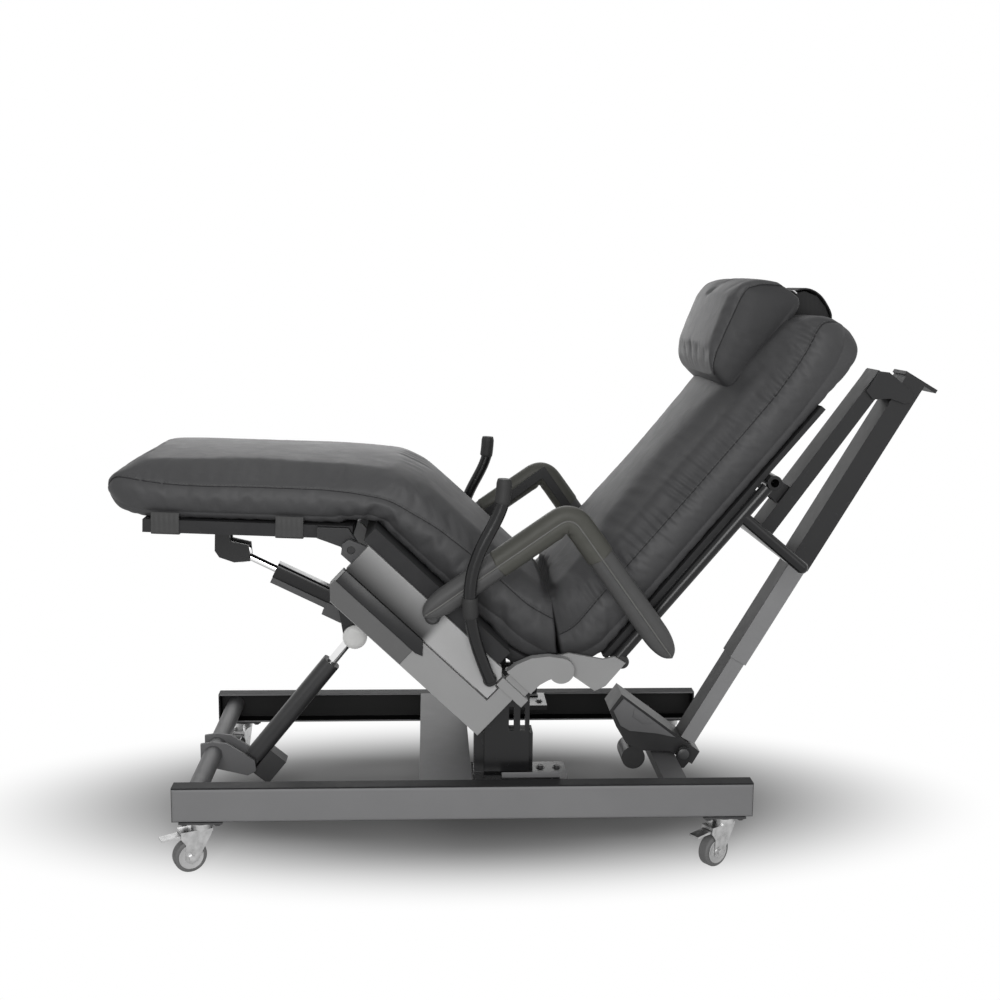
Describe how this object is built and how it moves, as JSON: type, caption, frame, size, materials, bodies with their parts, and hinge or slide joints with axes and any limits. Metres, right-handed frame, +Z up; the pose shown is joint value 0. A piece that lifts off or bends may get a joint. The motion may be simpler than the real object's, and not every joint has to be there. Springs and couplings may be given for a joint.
{
  "type": "zero gravity chair",
  "caption": "Powered zero gravity chair on a castor base, with padded seat, back, leg rest, flip arm rests, head pillow, linear actuators and a telescopic back mast.",
  "frame": {"origin": "floor level, at the middle of the chair's length and width", "axes": "+X from the foot end to the head end, +Y from the near side to the far side, +Z up"},
  "size_m": [1.7306, 0.7664, 1.1968],
  "materials": {
    "rail_paint": "dark grey powder coat",
    "frame_silver": "light grey powder coat",
    "cover_grey": "mid grey powder coat",
    "frame_black": "gloss black tube",
    "mast_black": "dark grey powder coat",
    "case_black": "black actuator case",
    "steel": "bright plated steel",
    "pin_steel": "turned steel",
    "upholstery": "dark grey upholstery over foam",
    "board": "black covered board",
    "strap": "woven strap",
    "tyre": "grey tread"
  },
  "bodies": {
    "base": {"near_rail": "rail_paint", "far_rail": "rail_paint", "front_cross_tube": "rail_paint", "rear_cross_beam": "rail_paint", "centre_cross_plate": "frame_silver", "near_pedestal": "frame_black", "far_pedestal": "frame_black", "mast_foot_lugs": "frame_black", "pivot_pins": "pin_steel", "castor_plates": "steel"},
    "seat": {"near_seat_beam": "frame_silver", "far_seat_beam": "frame_silver", "side_plates": "frame_silver", "beam_covers": "cover_grey", "seat_hinge_arms": "frame_silver", "seat_cross_tubes": "frame_black", "seat_board": "board", "seat_cushion": "upholstery", "near_assist_handle": "frame_black", "far_assist_handle": "frame_black"},
    "leg_rest": {"leg_board": "board", "leg_cushion": "upholstery", "leg_straps": "strap", "leg_brackets": "frame_black"},
    "back": {"back_hinge_plates": "frame_silver", "near_back_tube": "frame_black", "far_back_tube": "frame_black", "upper_cross_tube": "frame_black", "rear_bar": "frame_black", "hanger_arm": "mast_black", "back_board": "board", "back_cushion": "upholstery", "pillow_flap": "strap"},
    "pillow": {"head_pillow": "upholstery"},
    "near_arm": {"near_arm_frame": "frame_black", "near_arm_pad": "upholstery"},
    "far_arm": {"far_arm_frame": "frame_black", "far_arm_pad": "upholstery"},
    "tilt_case": {"tilt_actuator": "case_black"},
    "tilt_shaft": {"tilt_rod": "steel"},
    "leg_case": {"leg_actuator": "case_black"},
    "leg_shaft": {"leg_rod": "steel"},
    "mast_base": {"mast_housing": "case_black", "mast_lower": "mast_black"},
    "mast_second": {"mast_mid": "mast_black"},
    "mast_head": {"mast_upper": "mast_black"},
    "near_foot_castor": {"near_foot_fork": "steel"},
    "near_foot_roller": {"near_foot_wheel": "tyre"},
    "near_foot_brake": {"near_foot_pedal": "steel"},
    "near_head_castor": {"near_head_fork": "steel"},
    "near_head_roller": {"near_head_wheel": "tyre"},
    "near_head_brake": {"near_head_pedal": "steel"},
    "far_foot_castor": {"far_foot_fork": "steel"},
    "far_foot_roller": {"far_foot_wheel": "tyre"},
    "far_foot_brake": {"far_foot_pedal": "steel"},
    "far_head_castor": {"far_head_fork": "steel"},
    "far_head_roller": {"far_head_wheel": "tyre"},
    "far_head_brake": {"far_head_pedal": "steel"}
  },
  "joints": [
    {"name": "seat_tilt", "type": "hinge", "parent": "base", "child": "seat", "pos_m": [0.0355, 0, 0.397], "axis": [0, 1, 0], "range_deg": [-10, 0]},
    {"name": "back_recline", "type": "hinge", "parent": "base", "child": "back", "pos_m": [0.0355, 0, 0.397], "axis": [0, 1, 0], "range_deg": [-5, 30]},
    {"name": "leg_lift", "type": "hinge", "parent": "seat", "child": "leg_rest", "pos_m": [-0.3835, 0, 0.639], "axis": [0, 1, 0], "range_deg": [-15, 14]},
    {"name": "tilt_swing", "type": "hinge", "parent": "base", "child": "tilt_case", "pos_m": [-0.6285, 0, 0.107], "axis": [0, 1, 0], "range_deg": [-0.2, 9.08]},
    {"name": "tilt_extend", "type": "slide", "parent": "tilt_case", "child": "tilt_shaft", "axis": [0.6289, 0, 0.7775], "range_m": [-0.0505, 0.0005]},
    {"name": "leg_swing", "type": "hinge", "parent": "seat", "child": "leg_case", "pos_m": [-0.40236, 0, 0.46748], "axis": [0, 1, 0], "range_deg": [-11.95, 11.16]},
    {"name": "leg_extend", "type": "slide", "parent": "leg_case", "child": "leg_shaft", "axis": [-0.8991, 0, 0.4378], "range_m": [-0.0429, 0.04]},
    {"name": "mast_swing", "type": "hinge", "parent": "base", "child": "mast_base", "pos_m": [0.3335, 0, 0.138], "axis": [0, 1, 0], "range_deg": [-5.4, 31.41]},
    {"name": "mast_mid_slide", "type": "slide", "parent": "mast_base", "child": "mast_second", "axis": [0.5045, 0, 0.8634], "range_m": [-0.1023, 0.0175]},
    {"name": "mast_top_slide", "type": "slide", "parent": "mast_second", "child": "mast_head", "axis": [0.5045, 0, 0.8634], "range_m": [-0.1023, 0.0175]},
    {"name": "pillow_slide", "type": "slide", "parent": "back", "child": "pillow", "axis": [0.6428, 0, 0.766], "range_m": [-0.08, 0.02]},
    {"name": "near_arm_flip", "type": "hinge", "parent": "seat", "child": "near_arm", "pos_m": [-0.2226, -0.307, 0.51243], "axis": [0, 1, 0], "range_deg": [-40, 0]},
    {"name": "far_arm_flip", "type": "hinge", "parent": "seat", "child": "far_arm", "pos_m": [-0.2226, 0.307, 0.51243], "axis": [0, 1, 0], "range_deg": [-40, 0]},
    {"name": "near_foot_swivel", "type": "hinge", "parent": "base", "child": "near_foot_castor", "pos_m": [-0.6815, -0.32, 0.09], "axis": [0, 0, 1], "continuous": true},
    {"name": "near_foot_roll", "type": "hinge", "parent": "near_foot_castor", "child": "near_foot_roller", "pos_m": [-0.70506, -0.33099, 0.033], "axis": [-0.4226, 0.9063, 0], "continuous": true},
    {"name": "near_foot_brake_press", "type": "hinge", "parent": "near_foot_castor", "child": "near_foot_brake", "pos_m": [-0.71775, -0.33691, 0.077], "axis": [-0.4226, 0.9063, 0], "range_deg": [-10, 0]},
    {"name": "near_head_swivel", "type": "hinge", "parent": "base", "child": "near_head_castor", "pos_m": [0.3685, -0.32, 0.09], "axis": [0, 0, 1], "continuous": true},
    {"name": "near_head_roll", "type": "hinge", "parent": "near_head_castor", "child": "near_head_roller", "pos_m": [0.3472, -0.33491, 0.033], "axis": [-0.5736, 0.8192, 0], "continuous": true},
    {"name": "near_head_brake_press", "type": "hinge", "parent": "near_head_castor", "child": "near_head_brake", "pos_m": [0.33573, -0.34294, 0.077], "axis": [-0.5736, 0.8192, 0], "range_deg": [-10, 0]},
    {"name": "far_foot_swivel", "type": "hinge", "parent": "base", "child": "far_foot_castor", "pos_m": [-0.6815, 0.32, 0.09], "axis": [0, 0, 1], "continuous": true},
    {"name": "far_foot_roll", "type": "hinge", "parent": "far_foot_castor", "child": "far_foot_roller", "pos_m": [-0.68602, 0.2944, 0.033], "axis": [-0.9848, 0.1736, 0], "continuous": true},
    {"name": "far_foot_brake_press", "type": "hinge", "parent": "far_foot_castor", "child": "far_foot_brake", "pos_m": [-0.68845, 0.28061, 0.077], "axis": [-0.9848, 0.1736, 0], "range_deg": [-10, 0]},
    {"name": "far_head_swivel", "type": "hinge", "parent": "base", "child": "far_head_castor", "pos_m": [0.3685, 0.32, 0.09], "axis": [0, 0, 1], "continuous": true},
    {"name": "far_head_roll", "type": "hinge", "parent": "far_head_castor", "child": "far_head_roller", "pos_m": [0.34407, 0.32889, 0.033], "axis": [0.342, 0.9397, 0], "continuous": true},
    {"name": "far_head_brake_press", "type": "hinge", "parent": "far_head_castor", "child": "far_head_brake", "pos_m": [0.33091, 0.33368, 0.077], "axis": [0.342, 0.9397, 0], "range_deg": [-10, 0]}
  ],
  "couplings": [
    {"joint": "tilt_swing", "follows": "seat_tilt", "ratio": -0.88755},
    {"joint": "tilt_extend", "follows": "seat_tilt", "m_per_rad": 0.28661},
    {"joint": "leg_swing", "follows": "leg_lift", "ratio": 0.78306},
    {"joint": "leg_extend", "follows": "leg_lift", "m_per_rad": 0.16182},
    {"joint": "mast_swing", "follows": "back_recline", "ratio": 1.0405},
    {"joint": "mast_mid_slide", "follows": "back_recline", "m_per_rad": -0.19446},
    {"joint": "mast_top_slide", "follows": "back_recline", "m_per_rad": -0.19446}
  ]
}
